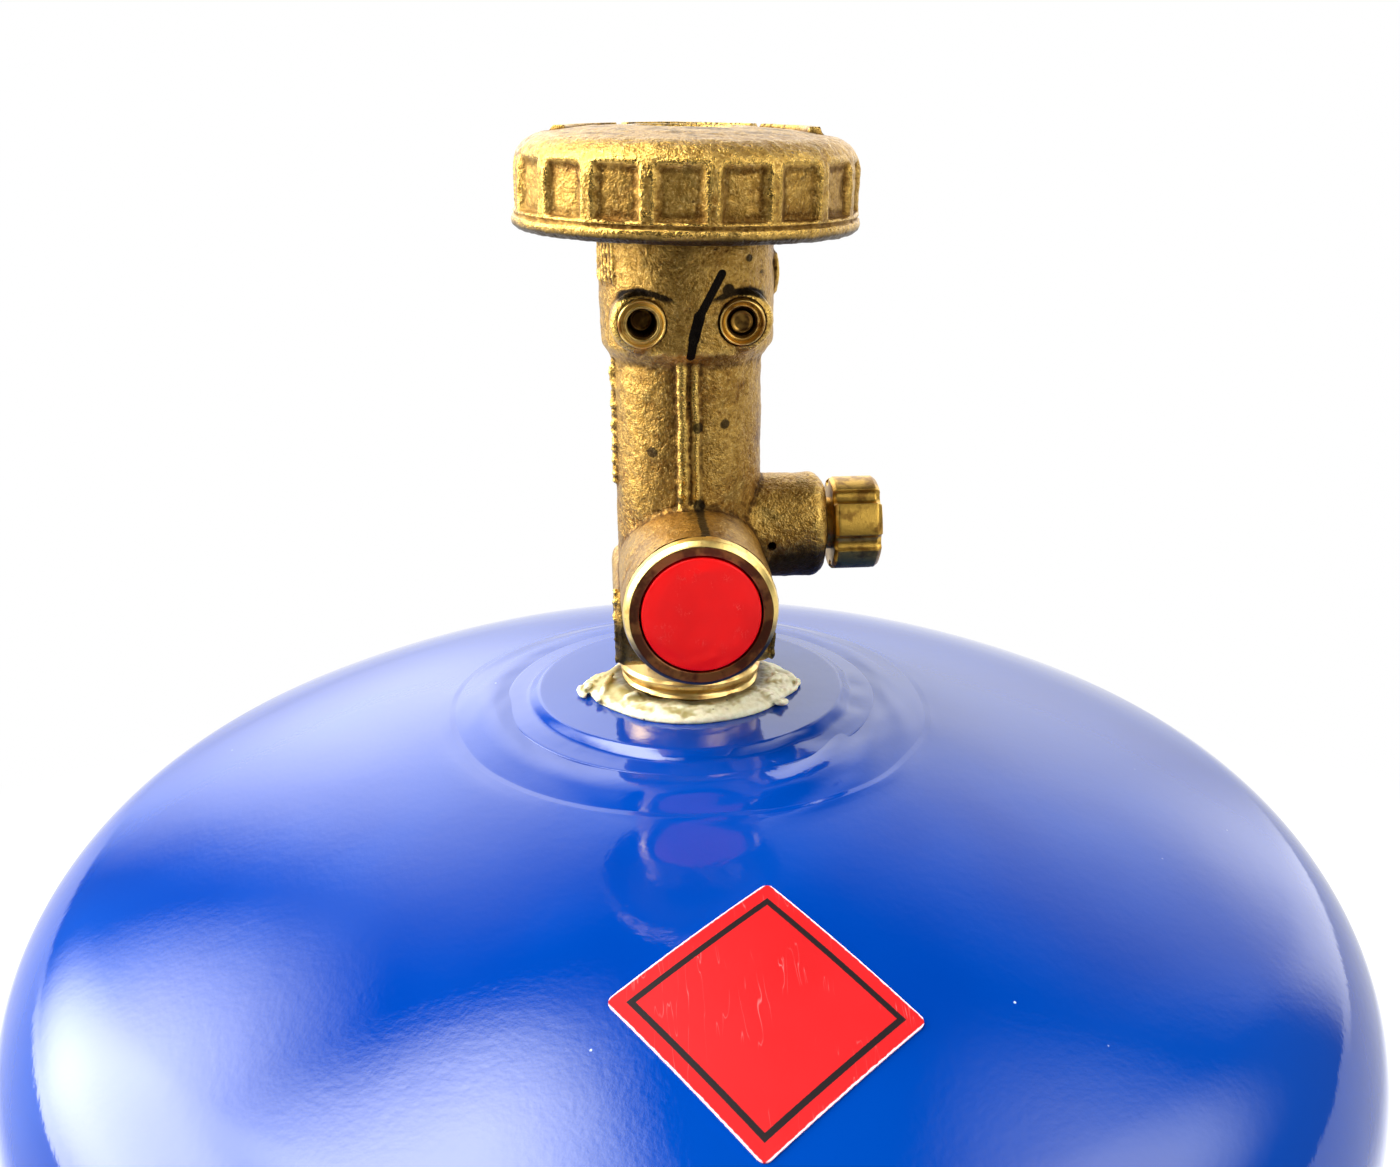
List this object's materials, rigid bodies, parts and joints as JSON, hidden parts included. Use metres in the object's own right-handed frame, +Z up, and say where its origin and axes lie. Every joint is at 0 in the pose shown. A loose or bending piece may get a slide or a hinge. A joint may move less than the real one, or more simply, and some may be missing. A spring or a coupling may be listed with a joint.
{
  "type": "propane tank",
  "caption": "Upright steel gas cylinder with domed heads and a foot ring, and a brass hand-wheel valve with side outlet, outlet plug, bleed screw and relief valve.",
  "frame": {"origin": "centre of the foot ring's underside", "axes": "+Z up along the tank's axis, -Y towards the gas outlet, +X towards the bleed screw"},
  "size_m": [0.3024, 0.3024, 0.5602],
  "materials": {
    "blue_paint": "gloss enamel over steel",
    "red_film": "satin vinyl film",
    "sealant": "dried thread sealant",
    "cast_brass": "shot-blasted forged brass",
    "turned_brass": "turned bright",
    "bright_steel": "zinc plated",
    "black_rubber": "matte",
    "white_plastic": "natural nylon",
    "yellow_plastic": "moulded",
    "red_plastic": "moulded"
  },
  "bodies": {
    "tank": {"upper_shell": "blue_paint", "lower_shell": "blue_paint", "girth_weld": "blue_paint", "neck_boss": "blue_paint", "neck_weld": "blue_paint", "foot_ring": "blue_paint", "foot_ring_weld": "blue_paint", "diamond_sticker": "red_film", "thread_sealant": "sealant", "valve_body": "cast_brass", "bonnet": "turned_brass", "bonnet_seal": "white_plastic", "locking_pins": "turned_brass", "thrust_washer": "white_plastic", "dip_tube": "bright_steel", "relief_plug": "turned_brass", "relief_cap": "yellow_plastic", "relief_spring": "bright_steel"},
    "wheel": {"spindle": "turned_brass", "spindle_o_rings": "black_rubber", "handwheel": "cast_brass", "wheel_washer": "bright_steel", "wheel_nut": "bright_steel"},
    "stem": {"valve_stem": "turned_brass", "seat_pad": "black_rubber"},
    "bleed_tip": {"bleed_seal": "white_plastic"},
    "bleed": {"bleed_screw": "turned_brass"},
    "relief": {"relief_poppet": "turned_brass", "relief_seal": "black_rubber"},
    "plug": {"outlet_plug": "red_plastic"}
  },
  "joints": [
    {"name": "handwheel_turn", "type": "hinge", "parent": "tank", "child": "wheel", "pos_m": [0, 0, 0.55], "axis": [0, 0, 1], "range_deg": [0, 900]},
    {"name": "stem_lift", "type": "slide", "parent": "wheel", "child": "stem", "axis": [0, 0, 1], "range_m": [0, 0.00375]},
    {"name": "bleed_travel", "type": "slide", "parent": "tank", "child": "bleed_tip", "axis": [1, 0, 0], "range_m": [0, 0.0016]},
    {"name": "bleed_turn", "type": "hinge", "parent": "bleed_tip", "child": "bleed", "pos_m": [0.03, 0, 0.47894], "axis": [1, 0, 0], "range_deg": [0, 720.5]},
    {"name": "relief_lift", "type": "slide", "parent": "tank", "child": "relief", "axis": [0, 1, 0], "range_m": [0, 0.002], "stiffness_N_per_m": 2000, "springref_m": -0.002, "deforming": ["relief_spring"]},
    {"name": "outlet_plug_pull", "type": "slide", "parent": "tank", "child": "plug", "axis": [0, -1, 0], "range_m": [0, 0.06]}
  ],
  "couplings": [
    {"joint": "stem_lift", "follows": "handwheel_turn", "m_per_rad": 0.00023873},
    {"joint": "bleed_turn", "follows": "bleed_travel", "rad_per_m": 7854}
  ]
}
